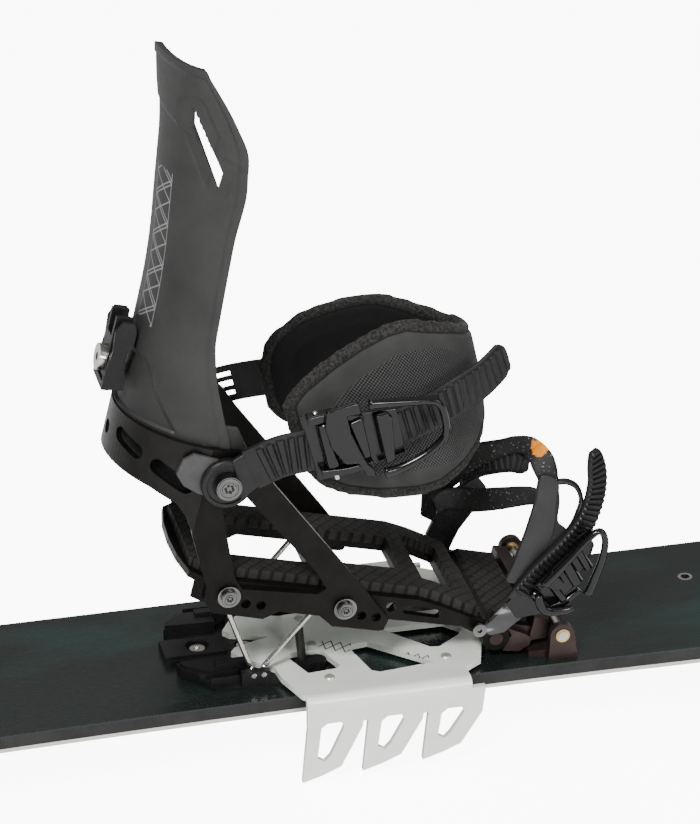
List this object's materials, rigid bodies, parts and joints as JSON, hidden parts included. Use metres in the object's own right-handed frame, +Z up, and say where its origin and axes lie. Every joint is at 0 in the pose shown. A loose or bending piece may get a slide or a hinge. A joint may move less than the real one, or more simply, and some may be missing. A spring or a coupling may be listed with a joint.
{
  "type": "splitboard half with touring binding",
  "caption": "Half of a splitboard in ski mode: toe-pivot soft-boot binding on its climbing wire, highback, ratchet straps, heel rest, and an aluminium ski crampon round the board.",
  "frame": {"origin": "On the flat underside of the base, at the middle of the board half's length and of its waist width.", "axes": "X runs along the board to the tip, Y to the straight split edge, Z up from the base."},
  "size_m": [1.6, 0.1782, 0.4789],
  "materials": {
    "core": "bare",
    "topsheet": "semi-gloss woven",
    "base_black": "sintered",
    "sidewall_grey": "matte",
    "edge_steel": "ground",
    "stainless": "drawn",
    "black_screw": "oxide",
    "bronze_anodised": "dark bronze anodised",
    "black_anodised": "black anodised",
    "brass_ring": "machined",
    "crampon_alloy": "pale anodised",
    "black_nylon": "moulded",
    "grey_nylon": "moulded",
    "charcoal_shell": "matte moulded",
    "foot_rubber": "moulded grid",
    "strap_urethane": "gloss",
    "clear_smoke": "smoked, gloss",
    "toe_rubber": "speckled",
    "strap_fabric": "padded textile"
  },
  "bodies": {
    "ski": {"core": "core", "topsheet": "topsheet", "base_sheet": "base_black", "steel_edge": "edge_steel", "sidewall": "sidewall_grey", "ride_inserts": "stainless", "toe_bracket": "bronze_anodised", "pivot_pins": "stainless", "pivot_bushings": "brass_ring", "bracket_screws": "black_screw", "crampon_rod": "stainless", "heel_rest": "black_nylon", "heel_rest_screws": "stainless", "wire_keepers": "black_nylon"},
    "binding": {"baseplate": "black_anodised", "heel_footpad": "foot_rubber", "toe_footpad": "foot_rubber", "heel_hoop": "bronze_anodised", "side_arm_right": "black_anodised", "side_arm_left": "black_anodised", "arm_bolts": "stainless", "strap_mount_plates": "grey_nylon", "ankle_bolts": "stainless", "ramp_rivets": "bronze_anodised", "toe_strap_bolts": "stainless"},
    "ramp": {"snap_ramp": "bronze_anodised", "ramp_pad": "foot_rubber"},
    "high_wire": {"high_climbing_wire": "stainless"},
    "low_wire": {"low_climbing_wire": "stainless"},
    "ski_crampon": {"crampon": "crampon_alloy", "crampon_rivets": "crampon_alloy"},
    "back_support": {"highback": "charcoal_shell", "highback_screws": "black_screw", "lean_block": "black_nylon", "lean_screw": "stainless"},
    "lean_catch": {"lean_lever": "black_nylon"},
    "ankle_strap": {"ankle_ladder": "strap_urethane", "ankle_far_strap": "strap_urethane", "ankle_pad": "strap_fabric", "ankle_buckle": "black_nylon", "ankle_buckle_pins": "stainless", "ankle_pawl": "black_nylon"},
    "ankle_buckle_lever": {"ankle_lever": "strap_urethane"},
    "toe_strap": {"toe_connector": "clear_smoke", "toe_ladder": "strap_urethane", "toe_far_strap": "strap_urethane", "toe_cap": "toe_rubber", "toe_side_panel": "grey_nylon", "toe_buckle": "black_nylon", "toe_buckle_pins": "stainless", "toe_pawl": "black_nylon"},
    "toe_buckle_lever": {"toe_lever": "strap_urethane"}
  },
  "joints": [
    {"name": "tour_pivot", "type": "hinge", "parent": "ski", "child": "binding", "pos_m": [0.126, 0, 0.0293], "axis": [0, 1, 0], "range_deg": [0, 55]},
    {"name": "ramp_hinge", "type": "hinge", "parent": "binding", "child": "ramp", "pos_m": [0.08421, 0, 0.02704], "axis": [0, -1, 0], "range_deg": [0, 55]},
    {"name": "high_wire_hinge", "type": "hinge", "parent": "ski", "child": "high_wire", "pos_m": [-0.075, 0, 0.0205], "axis": [0, -1, 0], "range_deg": [0, 66]},
    {"name": "low_wire_hinge", "type": "hinge", "parent": "ski", "child": "low_wire", "pos_m": [-0.0685, 0, 0.0205], "axis": [0, 1, 0], "range_deg": [0, 24]},
    {"name": "crampon_hinge", "type": "hinge", "parent": "ski", "child": "ski_crampon", "pos_m": [0.1, 0, 0.019], "axis": [0, 1, 0], "range_deg": [0, 1.5]},
    {"name": "highback_hinge", "type": "hinge", "parent": "binding", "child": "back_support", "pos_m": [-0.0931, 0, 0.16741], "axis": [0, 1, 0], "range_deg": [0, 14]},
    {"name": "lean_hinge", "type": "hinge", "parent": "back_support", "child": "lean_catch", "pos_m": [-0.1436, 0, 0.2542], "axis": [0, 1, 0], "range_deg": [0, 60]},
    {"name": "ankle_strap_hinge", "type": "hinge", "parent": "binding", "child": "ankle_strap", "pos_m": [-0.0931, 0, 0.16741], "axis": [0, 1, 0], "range_deg": [-6, 8]},
    {"name": "ankle_buckle_hinge", "type": "hinge", "parent": "ankle_strap", "child": "ankle_buckle_lever", "pos_m": [0.00111, -0.073, 0.19442], "axis": [-0.2756, 0, 0.9613], "range_deg": [-60, 0]},
    {"name": "toe_strap_hinge", "type": "hinge", "parent": "binding", "child": "toe_strap", "pos_m": [0.07147, 0, 0.03795], "axis": [0, 1, 0], "range_deg": [-2, 4]},
    {"name": "toe_buckle_hinge", "type": "hinge", "parent": "toe_strap", "child": "toe_buckle_lever", "pos_m": [0.11107, -0.0635, 0.06981], "axis": [0.8571, 0, -0.5152], "range_deg": [0, 50]}
  ]
}
